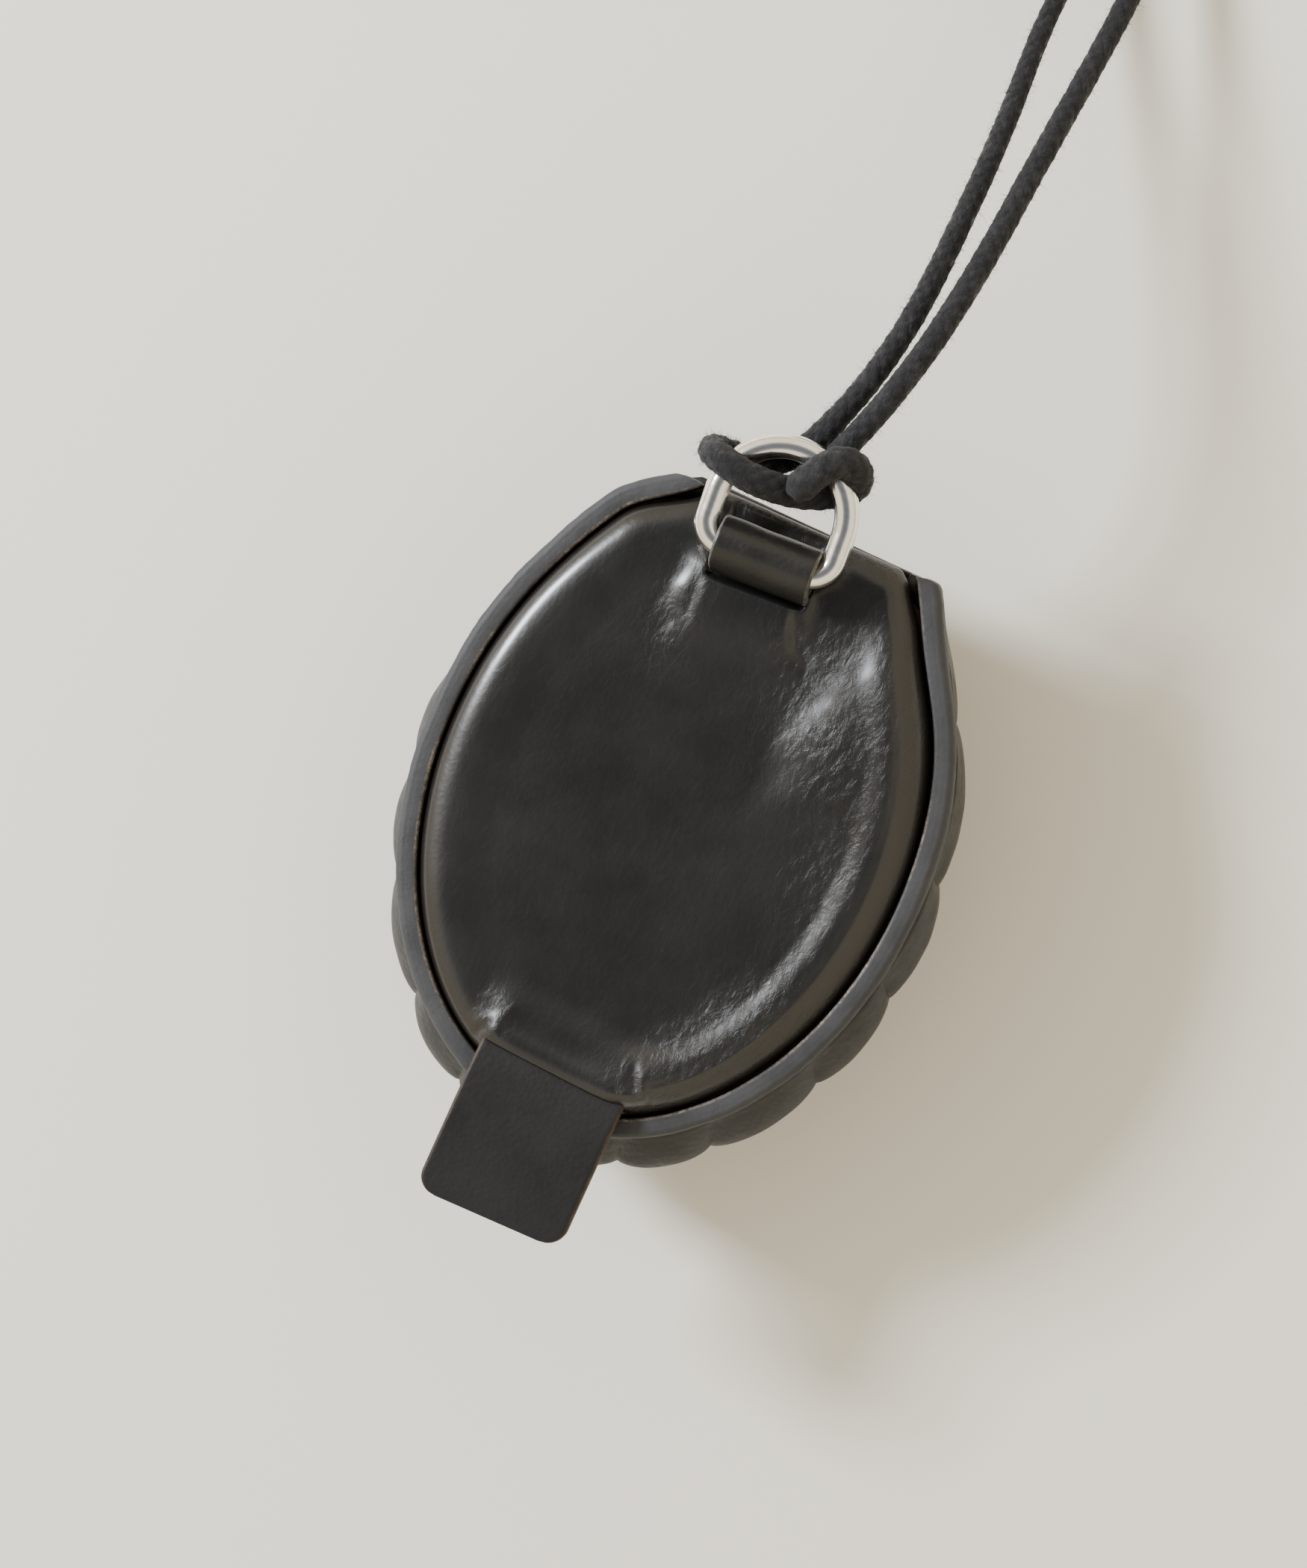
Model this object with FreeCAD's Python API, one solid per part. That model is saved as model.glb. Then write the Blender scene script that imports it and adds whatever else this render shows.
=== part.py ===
import FreeCAD, Part
import math
import os

# A coin pouch of wet-moulded leather in the shape of a scallop shell, on a doubled neck cord.
# It lies on the flat crown of its ribbed dome, with its puffed leather back upwards.
# Frame: +Y towards the D-ring, +X across, +Z up; the origin is under the middle of the pouch.
# All sizes are millimetres.

V = FreeCAD.Vector

# ---- driving dimensions ------------------------------------------------------------------------
HALF_LENGTH = 48.15          # from the middle of the pouch to the tab's tip, and to the ring's top
MOUTH_TOP = 39.05            # y of the flat top edge
MOUTH_BOTTOM = -33.95        # y of the mouth's lowest point
MOUTH_HALF_WIDTH = 27.95     # inside the rim, at its widest
MOUTH_CORNER = 14.7          # half-width of the flat top edge
WIDEST_Y = 3.05              # where the mouth is widest
RIM_TOP = 27.5               # height of the rim over the table
RIM_WIDTH = 2.7
RIM_HEIGHT = 4.1
SHELL_TOP = RIM_TOP - RIM_HEIGHT
SHELL_WALL = 2.0
LINING_WALL = 0.8
LINING_TOP = 22.1            # the lining ends below the lid
LINING_PLAY = 0.04           # between the lining and the shell
LID_GAP = 1.0                # between the puffed back and the rim
LID_WALL = 1.6
LID_BOTTOM = 22.6
LID_BOARD = 1.0              # the lining board under the padding
LID_TOP = 29.2
STRAP_WIDTH = 11.8
STRAP_THICK = 1.3
TAB_WIDTH = 18.2
TAB_THICK = 1.8
RING_WIRE = 2.9              # diameter
RING_WIDTH = 18.2            # outside
CORD = 2.8                   # diameter
COIL_TURN = 33.0             # diameter at the middle of the coil's turns

# ---- dome --------------------------------------------------------------------------------------
BULGE_Z = 19.5               # height at which the dome is widest
BULGE = 1.3                  # how far it swells past the rim there, at the sides
BULGE_LEAN = 2.3             # more than that at the bottom, and as much less towards the top edge
DOME_POWER = 2.3
CROWN_Y = 8.0                # the dome's crown, where it lies on the table
CROWN_SHARE = 0.30           # size of the flattened crown, against the widest section
RIB_EDGES = (0, 8, 16, 26, 35, 45.5, 62.5)   # degrees from the fan's axis
RIB_DEPTH = 1.0              # of the furrows between ribs, at the widest section
FAN_Y = MOUTH_TOP            # the ribs fan out from the middle of the top edge
RIB_FADE = 30.0              # nearer the fan's centre than this, the ribs fade out
LINING_INSET = SHELL_WALL + 0.6 * RIB_DEPTH

# ---- hinge, ring and strap ---------------------------------------------------------------------
HINGE_Y = 37.6
HINGE_Z = 26.5
HINGE_ROUND = 1.45
HINGE_PLAY = 0.1
LID_TOP_EDGE = HINGE_Y - 2.3 # where the lid's deep part ends, short of the hinge
RING_X = -3.1
BAR_Y = 33.55
BAR_Z = 32.15
RING_RISE = 1.8              # degrees that the ring slopes up from its bar
SLIT_Y = 30.1
TAB_X = 0.35
TAB_AXIS_Y = -30.6
TAB_AXIS_Z = 28.9
COIL_CENTRE = V(-18.0, 131.0, 0)
COIL_WIDE = 4 * CORD         # across the turns, from inside to outside
TIE_WIDTH = 4.0
TIE_THICK = 0.6
KNOT_SIZE = 4.2


def mouth_half_width(y):
    """Half-width of the mouth at y: an ellipse below the widest place, a blunter curve above."""
    if y <= WIDEST_Y:
        t = (WIDEST_Y - y) / (WIDEST_Y - MOUTH_BOTTOM)
        return MOUTH_HALF_WIDTH * math.sqrt(max(0.0, 1 - t * t))
    t = (y - WIDEST_Y) / (MOUTH_TOP - WIDEST_Y)
    share = MOUTH_CORNER / MOUTH_HALF_WIDTH
    return MOUTH_HALF_WIDTH * (1 - (1 - share) * t ** 2.1)


def mouth_points(count):
    """Points from the right top corner, down round the bottom, to the left top corner."""
    right = []
    for i in range(count):
        drop = math.sin(math.pi / 2 * i / count)
        y = MOUTH_TOP - (MOUTH_TOP - MOUTH_BOTTOM) * drop
        right.append((mouth_half_width(y), y))
    return right + [(0.0, MOUTH_BOTTOM)] + [(-x, y) for x, y in reversed(right)]


def rib_height(x, y):
    """0 in the furrows between ribs and 1 on their crests, by direction from the fan's centre."""
    angle = abs(math.degrees(math.atan2(x, FAN_Y - y)))
    for low, high in zip(RIB_EDGES, RIB_EDGES[1:]):
        if low <= angle < high:
            return abs(math.sin(math.pi * (angle - low) / (high - low))) ** 0.7
    return 1 - min(1.0, (angle - RIB_EDGES[-1]) / 15.0) ** 2


def fan_angles():
    """Directions of the section points: several on each rib, in order from right to left."""
    steps = []
    for low, high in zip(RIB_EDGES, RIB_EDGES[1:]):
        steps += [low + (high - low) * k / 6 for k in range(6)]
    steps += [RIB_EDGES[-1] + k * (90.0 - RIB_EDGES[-1]) / 4 for k in range(5)]
    return list(reversed(steps)) + [-a for a in steps[1:]]


def rim_point(angle):
    """The point of the mouth's outline in this direction from the fan's centre."""
    if abs(angle) >= 90:
        return math.copysign(MOUTH_CORNER, angle), MOUTH_TOP
    a = math.radians(abs(angle))
    low, high = 0.0, FAN_Y - MOUTH_BOTTOM
    for _ in range(50):
        y = FAN_Y - (low + high) / 2
        if (FAN_Y - y) * math.tan(a) < mouth_half_width(y):
            low = (low + high) / 2
        else:
            high = (low + high) / 2
    y = FAN_Y - low
    return math.copysign((FAN_Y - y) * math.tan(a), angle), y


RIM_POINTS = [rim_point(a) for a in fan_angles()]


def closed_wire(points, z):
    """A smooth curve through the points, closed by the straight top edge."""
    vectors = [V(x, y, z) for x, y in points]
    curve = Part.BSplineCurve()
    curve.interpolate(vectors)
    edge = curve.toShape()
    return Part.Wire([edge, Part.LineSegment(vectors[-1], vectors[0]).toShape()])


def dome_share(z):
    """Size of the section at height z, against the widest one."""
    if z >= BULGE_Z:
        return 1.0
    full = BULGE_Z / (1 - CROWN_SHARE ** DOME_POWER) ** (1 / DOME_POWER)
    drop = (BULGE_Z - z) / full
    return (1 - drop ** DOME_POWER) ** (1 / DOME_POWER)


def dome_wire(z, inset, ribs):
    """The dome's section at height z, moved in by inset, ribbed or smooth."""
    share = dome_share(z)
    swell_share = max(0.0, min(1.0, (SHELL_TOP - z) / (SHELL_TOP - BULGE_Z)))
    points = []
    for x, y in RIM_POINTS:
        reach = math.hypot(x, y - WIDEST_Y)
        way_x = x / reach
        way_y = (y - WIDEST_Y) / reach
        grow = RIM_WIDTH + swell_share * (BULGE - BULGE_LEAN * way_y) - inset
        out_x = share * (x + grow * way_x)
        out_y = CROWN_Y + share * (min(y + grow * way_y, MOUTH_TOP - inset) - CROWN_Y)
        if ribs and y < MOUTH_TOP:
            furrow = RIB_DEPTH * (1 - rib_height(out_x, out_y)) * min(1.0, (FAN_Y - out_y) / RIB_FADE)
            out_x -= furrow * way_x
            out_y -= furrow * way_y
        points.append((out_x, out_y))
    return closed_wire(points, z)


def dome(levels, inset, ribs):
    return Part.makeLoft([dome_wire(z, inset, ribs) for z in levels], True, False)


def make_front_shell():
    outer = dome((0, 1.0, 3.0, 6.5, 11.0, 15.5, BULGE_Z, SHELL_TOP), 0, True)
    inner = dome((SHELL_WALL, 4.0, 7.5, 12.0, 16.0, BULGE_Z, SHELL_TOP + 1), LINING_INSET, False)
    return outer.cut(inner)


def make_shell_lining():
    outer_inset = LINING_INSET + LINING_PLAY
    low = SHELL_WALL + LINING_PLAY
    outer = dome((low, 4.0, 7.5, 12.0, 16.0, BULGE_Z, SHELL_TOP + 1), outer_inset, False)
    low += LINING_WALL
    inner = dome((low, 5.0, 8.5, 13.0, 16.5, BULGE_Z, SHELL_TOP + 2), outer_inset + LINING_WALL, False)
    above = box(-HALF_LENGTH, HALF_LENGTH, -HALF_LENGTH, HALF_LENGTH, LINING_TOP, RIM_TOP)
    return outer.cut(inner).cut(above)


def outline_wire(grow, z, top):
    """The mouth's outline moved out by grow, cut straight at y = top."""
    points = []
    for x, y in mouth_points(22):
        reach = math.hypot(x, y - WIDEST_Y)
        points.append((x + grow * x / reach, min(y + grow * (y - WIDEST_Y) / reach, top)))
    points = [(x, y) for x, y in points if y < top - 0.8 or (x, y) in (points[0], points[-1])]
    points[0] = (points[0][0], top)
    points[-1] = (points[-1][0], top)
    return closed_wire(points, z)


def prism(grow, low, high, top):
    return Part.Face(outline_wire(grow, low, top)).extrude(V(0, 0, high - low))


def box(x0, x1, y0, y1, z0, z1):
    return Part.makeBox(x1 - x0, y1 - y0, z1 - z0, V(x0, y0, z0))


def make_rim_welt():
    """The thick edge: a horseshoe round the mouth, open along the top edge."""
    outer = prism(RIM_WIDTH, SHELL_TOP, RIM_TOP, MOUTH_TOP)
    inner = prism(0, SHELL_TOP - 1, RIM_TOP + 1, MOUTH_TOP + 5)
    gap = box(-MOUTH_CORNER, MOUTH_CORNER, MOUTH_TOP - 6, MOUTH_TOP + 6, SHELL_TOP - 1, RIM_TOP + 1)
    return outer.cut(inner).cut(gap)


def hinge_rod(radius, x0, x1):
    return Part.makeCylinder(radius, x1 - x0, V(x0, HINGE_Y, HINGE_Z), V(1, 0, 0))


def make_hinge_strip():
    """Leather along the top edge, hollowed round the axis that the back turns on."""
    half = MOUTH_CORNER - 1.0
    block = box(-half, half, HINGE_Y - 1.0, MOUTH_TOP, SHELL_TOP, HINGE_Z - 0.9)
    return block.cut(hinge_rod(HINGE_ROUND + HINGE_PLAY, -half - 1, half + 1))


def lid_body(inset, low, levels):
    """The puffed back: straight sides, then a soft shoulder up to a broad, flat pillow."""
    wires = [outline_wire(-LID_GAP - inset - step, z, LID_TOP_EDGE - inset) for step, z in levels]
    return Part.makeLoft([outline_wire(-LID_GAP - inset, low, LID_TOP_EDGE - inset)] + wires, True, True)


def slit_cut():
    half = STRAP_WIDTH / 2 + 0.3
    return box(RING_X - half, RING_X + half, SLIT_Y - 1.5, SLIT_Y + 1.5, LID_TOP - LID_WALL - 1.6, LID_TOP + 1)


def tab_cut():
    half = TAB_WIDTH / 2 + 0.4
    return box(TAB_X - half, TAB_X + half, MOUTH_BOTTOM - 1, TAB_AXIS_Y + 1.3, TAB_AXIS_Z - 1.3, LID_TOP + 1)


def make_back_panel():
    skin = lid_body(0, LID_BOTTOM, ((0, 27.4), (0.9, 28.6), (2.6, LID_TOP)))
    hollow = lid_body(LID_WALL, LID_BOTTOM - 1, ((0, 26.2), (0.8, 27.2), (2.2, LID_TOP - LID_WALL)))
    half = MOUTH_CORNER - 1.0
    nose = hinge_rod(HINGE_ROUND, -half, half)
    bridge = box(-half, half, LID_TOP_EDGE - 1.0, HINGE_Y, HINGE_Z - 0.45, HINGE_Z + HINGE_ROUND)
    return skin.cut(hollow).fuse(bridge).fuse(nose).cut(slit_cut()).cut(tab_cut()).removeSplitter()


def make_back_padding():
    body = lid_body(LID_WALL, LID_BOTTOM + LID_BOARD, ((0, 26.2), (0.8, 27.2), (2.2, LID_TOP - LID_WALL)))
    return body.cut(slit_cut()).cut(tab_cut())


def make_back_lining():
    outline = outline_wire(-LID_GAP - LID_WALL, LID_BOTTOM, LID_TOP_EDGE - LID_WALL)
    return Part.Face(outline).extrude(V(0, 0, LID_BOARD))


def strap_profile(points, radius_end):
    """A closed outline in the YZ plane: straight runs, with a round fold at the ring end."""
    vectors = [V(RING_X - STRAP_WIDTH / 2, y, z) for y, z in points]
    edges = []
    for start, end in zip(vectors, vectors[1:]):
        edges.append(Part.LineSegment(start, end).toShape())
    first, last = vectors[0], vectors[-1]
    middle = (first + last) * 0.5 + V(0, radius_end, 0)
    edges.append(Part.Arc(last, middle, first).toShape())
    return Part.Face(Part.Wire(edges)).extrude(V(STRAP_WIDTH, 0, 0))


def make_ring_strap():
    """A strip doubled round the ring's bar; both its layers go down through the slit."""
    floor = LID_TOP + 0.05
    fold_y = 36.1
    low = floor + STRAP_THICK
    high = BAR_Z + RING_WIRE / 2 + 0.4
    fold_high = high - 0.5
    outer = strap_profile(((fold_y, floor), (SLIT_Y - 1.2, floor), (SLIT_Y - 1.2, floor + 0.6),
                           (BAR_Y - 1.9, high + STRAP_THICK), (fold_y, fold_high + STRAP_THICK)), 2.2)
    inner = strap_profile(((fold_y, low), (SLIT_Y + 0.6, low), (BAR_Y - 1.7, high), (fold_y, fold_high)), 1.1)
    tail = box(RING_X - STRAP_WIDTH / 2, RING_X + STRAP_WIDTH / 2, SLIT_Y - 1.2, SLIT_Y + 1.2,
               LID_TOP - LID_WALL - 1.4, floor)
    return outer.cut(inner).fuse(tail).removeSplitter()


def ring_solid(radius):
    """The ring: a straight bar, two short limbs, a round top and two round corners, rising a little."""
    reach = (RING_WIDTH - RING_WIRE) / 2
    bow = HALF_LENGTH - RING_WIRE / 2 - reach
    corner = 2.6
    up = V(0, 0, 1)
    bar_start = V(RING_X - reach + corner, BAR_Y, BAR_Z)
    bar = Part.makeCylinder(radius, 2 * (reach - corner), bar_start, V(1, 0, 0))
    parts = [Part.makeTorus(reach, radius, V(RING_X, bow, BAR_Z), up, -180, 180, 180)]
    for side, turn in ((1, -90), (-1, 180)):
        limb = V(RING_X + side * reach, BAR_Y + corner, BAR_Z)
        parts.append(Part.makeCylinder(radius, bow - limb.y, limb, V(0, 1, 0)))
        middle = limb - V(side * corner, 0, 0)
        bend = Part.makeTorus(corner, radius, middle, up, -180, 180, 90)
        parts.append(bend.rotate(middle, up, turn))
    ring = bar.fuse(parts).removeSplitter()
    return ring.rotate(V(RING_X, BAR_Y, BAR_Z), V(1, 0, 0), RING_RISE)


def make_pull_tab():
    """A tab with rounded tip corners and a round root that it flexes about."""
    half = TAB_WIDTH / 2
    tip = -HALF_LENGTH
    corner = 2.3
    low = TAB_AXIS_Z - TAB_THICK / 2
    slab = box(TAB_X - half, TAB_X + half, tip, TAB_AXIS_Y, low, low + TAB_THICK)
    tip_corners = [e for e in slab.Edges if e.BoundBox.YMax < tip + 0.01 and e.BoundBox.XLength < 0.01]
    slab = slab.makeFillet(corner, tip_corners)
    root = Part.makeCylinder(TAB_THICK / 2, TAB_WIDTH, V(TAB_X - half, TAB_AXIS_Y, TAB_AXIS_Z), V(1, 0, 0))
    return slab.fuse(root).removeSplitter()


# ---- cord --------------------------------------------------------------------------------------
HITCH_FRONT = ((-10.7, 42.3, 35.2), (-7.0, 41.3, 35.0), (-3.2, 41.6, 34.0), (0.4, 43.6, 32.6))
HITCH_BEHIND = ((-10.3, 42.6, 29.6), (-6.6, 43.4, 29.0), (-3.8, 45.6, 28.7), (-2.9, 47.7, 28.6))
LEFT_ROUTE = ((-3.0, 47.2, 28.6), (-1.1, 52.5, 28.4), (0.5, 58.5, 27.6), (1.5, 66.5, 25.6), (1.4, 77.0, 21.6),
              (0.8, 90.0, 15.8), (-0.8, 102.5, 9.6), (-0.7, 113.5, 4.2), (1.2, 123.0, 1.6), (3.1, 131.0, 1.4))
RIGHT_ROUTE = ((0.2, 47.0, 30.2), (2.2, 52.5, 30.5), (3.8, 58.5, 29.8), (5.2, 66.5, 27.4), (6.0, 77.0, 23.4),
               (6.3, 90.0, 17.4), (6.9, 102.5, 11.6), (7.0, 113.5, 7.0), (5.2, 123.0, 4.6), (3.1, 131.0, 4.2))


def tube(name, points, diameter):
    """A round cord along straight runs joined by tangent arcs, as large as the runs allow."""
    route = [V(*p) for p in points]
    edges = []
    radii = []
    cursor = route[0]
    for before, corner, after in zip(route, route[1:], route[2:]):
        run_in = corner - before
        run_out = after - corner
        half_turn = run_in.getAngle(run_out) / 2
        cut = 0.45 * min(run_in.Length, run_out.Length)
        radii.append(cut / math.tan(half_turn))
        way_in = V(run_in).normalize()
        way_out = V(run_out).normalize()
        start = corner - way_in * cut
        end = corner + way_out * cut
        bend = (way_out - way_in).normalize()
        middle = corner + bend * (radii[-1] * (1 / math.cos(half_turn) - 1))
        edges.append(Part.LineSegment(cursor, start).toShape())
        edges.append(Part.Arc(start, middle, end).toShape())
        cursor = end
    edges.append(Part.LineSegment(cursor, route[-1]).toShape())
    path = Part.Wire(edges)
    section = Part.Wire([Part.makeCircle(diameter / 2, route[0], route[1] - route[0])])
    solid = path.makePipeShell([section], True, False)
    expected = math.pi * diameter ** 2 / 4 * path.Length
    print(name, "length", round(path.Length, 1), "radii", [round(r, 1) for r in radii],
          "volume share", round(solid.Volume / expected, 4))
    return solid


def largest(shape):
    """The main solid of a cut shape, without its offcuts."""
    return max(shape.Solids, key=lambda solid: solid.Volume)


def wrap(centre, along):
    """One turn of cord round the ring's wire."""
    return Part.makeTorus((RING_WIRE + CORD) / 2, CORD / 2, centre, along)


def make_cord_hitch():
    """The cord's middle: a turn round the left limb, a turn round the right shoulder, and the runs between."""
    radius = (RING_WIDTH - RING_WIRE) / 2
    top = HALF_LENGTH - RING_WIRE / 2
    left = V(RING_X - radius, 42.35, BAR_Z + 0.28)
    shoulder = math.radians(60)
    right = V(RING_X + radius * math.cos(shoulder), top - radius + radius * math.sin(shoulder), BAR_Z + 0.38)
    tangent = V(-math.sin(shoulder), math.cos(shoulder), 0)
    front = tube("hitch_front", HITCH_FRONT, CORD)
    behind = tube("hitch_behind", HITCH_BEHIND, CORD)
    lump = front.fuse([behind, wrap(left, V(0, 1, 0)), wrap(right, tangent)])
    return largest(lump.cut(ring_solid(RING_WIRE / 2 + 0.1)))


def make_strand(name, route, hitch, coil):
    """The free run of one strand, from the hitch to the coil."""
    return largest(tube(name, route, CORD).cut(hitch).cut(coil))


def make_cord_coil():
    """Both strands wound side by side in two layers: a ring with soft corners."""
    inner = COIL_TURN / 2 - COIL_WIDE / 2
    outer = COIL_TURN / 2 + COIL_WIDE / 2
    high = 2 * CORD
    body = Part.makeCylinder(outer, high, COIL_CENTRE).cut(Part.makeCylinder(inner, high, COIL_CENTRE))
    return body.makeFillet(1.2, [e for e in body.Edges if e.Curve.TypeId == "Part::GeomCircle"])


def make_coil_tie():
    """A leather strip round the coil's turns."""
    inner = COIL_TURN / 2 - COIL_WIDE / 2
    high = 2 * CORD
    x0 = COIL_CENTRE.x - inner - COIL_WIDE
    x1 = COIL_CENTRE.x - inner
    y0 = COIL_CENTRE.y - TIE_WIDTH / 2
    band = box(x0 - TIE_THICK, x1 + TIE_THICK, y0, y0 + TIE_WIDTH, 0, high + TIE_THICK)
    return band.cut(box(x0, x1, y0 - 1, y0 + TIE_WIDTH + 1, TIE_THICK, high))


def make_cord_knot():
    """The overhand knot that joins the two ends, against the inside of the coil."""
    inner = COIL_TURN / 2 - COIL_WIDE / 2
    centre = COIL_CENTRE + V(0, inner - KNOT_SIZE + 0.8, KNOT_SIZE)
    return Part.makeSphere(KNOT_SIZE, centre)


def export(name, shape):
    solids = shape.Solids
    assert shape.isValid() and solids, name
    result = solids[0] if len(solids) == 1 else Part.makeCompound(solids)
    size = result.BoundBox
    print(name, len(solids), "volume", round(result.Volume, 1), "box",
          [round(v, 2) for v in (size.XMin, size.XMax, size.YMin, size.YMax, size.ZMin, size.ZMax)])
    result.exportStep("parts/" + name + ".step")


os.makedirs("parts", exist_ok=True)

coil = make_cord_coil()
tie = make_coil_tie()
knot = make_cord_knot()
hitch = make_cord_hitch()

export("front_shell", make_front_shell())
export("shell_lining", make_shell_lining())
export("rim_welt", make_rim_welt())
export("hinge_strip", make_hinge_strip())
export("back_panel", make_back_panel())
export("back_padding", make_back_padding())
export("back_lining", make_back_lining())
export("ring_strap", make_ring_strap())
export("pull_tab", make_pull_tab())
export("d_ring", ring_solid(RING_WIRE / 2))
export("cord_hitch", hitch)
export("cord_left", make_strand("cord_left", LEFT_ROUTE, hitch, coil))
export("cord_right", make_strand("cord_right", RIGHT_ROUTE, hitch, coil))
export("cord_coil", coil.cut(tie).cut(knot))
export("coil_tie", tie)
export("cord_knot", knot)
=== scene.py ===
import math

import bpy
import numpy as np
from mathutils import Matrix, Vector


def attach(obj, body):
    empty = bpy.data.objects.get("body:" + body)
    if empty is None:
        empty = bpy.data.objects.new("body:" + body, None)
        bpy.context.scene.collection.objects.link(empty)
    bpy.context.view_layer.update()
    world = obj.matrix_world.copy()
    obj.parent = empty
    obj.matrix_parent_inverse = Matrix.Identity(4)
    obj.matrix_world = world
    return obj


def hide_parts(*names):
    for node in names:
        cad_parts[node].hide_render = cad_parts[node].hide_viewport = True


# The pouch's looks. Shapes are in millimetres, and mesh() turns them into metres. Scales and depths
# inside the materials, and the window light, are in metres.
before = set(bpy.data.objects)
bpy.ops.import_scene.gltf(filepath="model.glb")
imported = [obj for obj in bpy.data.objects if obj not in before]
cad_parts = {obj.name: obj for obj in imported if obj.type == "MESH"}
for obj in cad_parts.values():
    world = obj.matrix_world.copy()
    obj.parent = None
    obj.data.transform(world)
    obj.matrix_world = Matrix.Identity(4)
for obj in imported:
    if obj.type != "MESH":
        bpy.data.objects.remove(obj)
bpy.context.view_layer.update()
MM = 0.001

# ---- sizes shared with the CAD model ---------------------------------------------------------
MOUTH_TOP, MOUTH_BOTTOM = 39.05, -33.95
MOUTH_HALF_WIDTH, MOUTH_CORNER, WIDEST_Y = 27.95, 14.7, 3.05
RIM_TOP, RIM_WIDTH, RIM_HEIGHT = 27.5, 2.7, 4.1
RIM_LOW = RIM_TOP - RIM_HEIGHT
BULGE_Z, BULGE, BULGE_LEAN, DOME_POWER = 19.5, 1.9, 2.3, 2.3
CROWN_Y, CROWN_SHARE = 8.0, 0.30
RIB_EDGES = (0, 8, 16, 26, 35, 45.5, 62.5)    # degrees from the middle line
RIB_FADE, RIB_ROUND = 14.0, 0.55              # the last rib's rise in degrees, and how full the ribs are
HINGE_Y, HINGE_Z, HINGE_ROUND = 37.6, 26.5, 1.45
LID_BOTTOM, LID_GAP = 22.6, 0.40
RING_X, BAR_Y, BAR_Z = -3.1, 33.55, 32.15
RING_WIRE, RING_REACH, RING_TOP = 1.45, 7.65, 46.7
RING_RISE, RING_TURN = math.radians(1.8), 4.5
CORD_R = 1.4
COIL_X, COIL_Y, COIL_START_X, COIL_TURNS = -18.0, 131.0, 3.1, 3.0


# ---- mesh helpers ----------------------------------------
def placed(name, data):
    """A new object in the scene."""
    thing = bpy.data.objects.new(name, data)
    bpy.context.scene.collection.objects.link(thing)
    return thing


def mesh(name, points, faces, material, body, replaces=(), slot=None, smooth=True):
    """A piece from points in millimetres, riding on a body in place of the nodes it replaces."""
    data = bpy.data.meshes.new(name)
    data.from_pydata((np.asarray(points, float).reshape(-1, 3) * MM).tolist(), [], faces)
    data.validate()
    if smooth:
        data.polygons.foreach_set("use_smooth", [True] * len(data.polygons))
    data.materials.append(material)
    piece = placed(name, data)
    if body:
        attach(piece, body)
    if replaces:
        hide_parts(*replaces)
    return piece


def grid_faces(rows, cols, close_rows=False, close_cols=False, start=0, flip=False):
    """Quads between the points of a grid stored row by row."""
    r = np.arange(rows if close_rows else rows - 1)
    c = np.arange(cols if close_cols else cols - 1)
    r0, c0 = np.meshgrid(r, c, indexing="ij")
    r1, c1 = (r0 + 1) % rows, (c0 + 1) % cols
    quads = np.stack([r0 * cols + c0, r0 * cols + c1, r1 * cols + c1, r1 * cols + c0], axis=-1)
    quads = quads.reshape(-1, 4) + start
    return (quads[:, ::-1] if flip else quads).tolist()


def bar_faces(rows, cols, flip=False):
    """Faces of a bar with closed ends: its section runs down the rows and its length along the columns."""
    near = [r * cols for r in range(rows)]
    far = [r * cols + cols - 1 for r in range(rows)]
    ends = [near[::-1], far] if flip else [near, far[::-1]]
    return grid_faces(rows, cols, close_rows=True) + ends


def ripple(x, y, z, size, seed, waves=7):
    """Smooth noise from about -1 to 1 with features of this size, the same for the same seed."""
    r = np.random.default_rng(seed)
    total = np.zeros_like(x, dtype=float)
    for _ in range(waves):
        d = r.normal(size=3)
        d *= r.uniform(0.7, 1.4) * 2 * math.pi / size / np.linalg.norm(d)
        total += np.sin(d[0] * x + d[1] * y + d[2] * z + r.uniform(0, 6.28))
    return total / waves * 1.6


def unit(vectors):
    return vectors / np.linalg.norm(vectors, axis=-1)[..., None]


def round_angles(count):
    return np.linspace(0, 2 * math.pi, count, endpoint=False)


def arc(x, y, radius, start, end, count):
    """Points round a circle, between two angles in degrees."""
    angles = np.radians(np.linspace(start, end, count))
    return [(x + radius * math.cos(a), y + radius * math.sin(a)) for a in angles]


def smoothstep(low, high, x):
    t = np.clip((x - low) / (high - low), 0, 1)
    return t * t * (3 - 2 * t)


def settled(values, times):
    """Values round a closed loop, each smoothed with its neighbours this many times."""
    for _ in range(times):
        values = (np.roll(values, 1, 0) + 2 * values + np.roll(values, -1, 0)) / 4
    return values


def paint(piece, name, values):
    """A number per point that the material can read."""
    attribute = piece.data.attributes.new(name, "FLOAT", "POINT")
    attribute.data.foreach_set("value", np.asarray(values, np.float32))


# ---- outlines --------------------------------------------
def half_width(y):
    """Half the mouth's width: part of an ellipse below its widest place, and a taper above it."""
    low = np.clip((WIDEST_Y - y) / (WIDEST_Y - MOUTH_BOTTOM), 0, 1)
    high = np.clip((y - WIDEST_Y) / (MOUTH_TOP - WIDEST_Y), 0, 1)
    share = MOUTH_CORNER / MOUTH_HALF_WIDTH
    return MOUTH_HALF_WIDTH * np.where(y <= WIDEST_Y, np.sqrt(1 - low ** 2), 1 - (1 - share) * high ** 2.1)


def turned(points, degrees):
    """Points in the plane, turned about the origin."""
    a = math.radians(degrees)
    return points @ np.array([(math.cos(a), math.sin(a)), (-math.sin(a), math.cos(a))])


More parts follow.
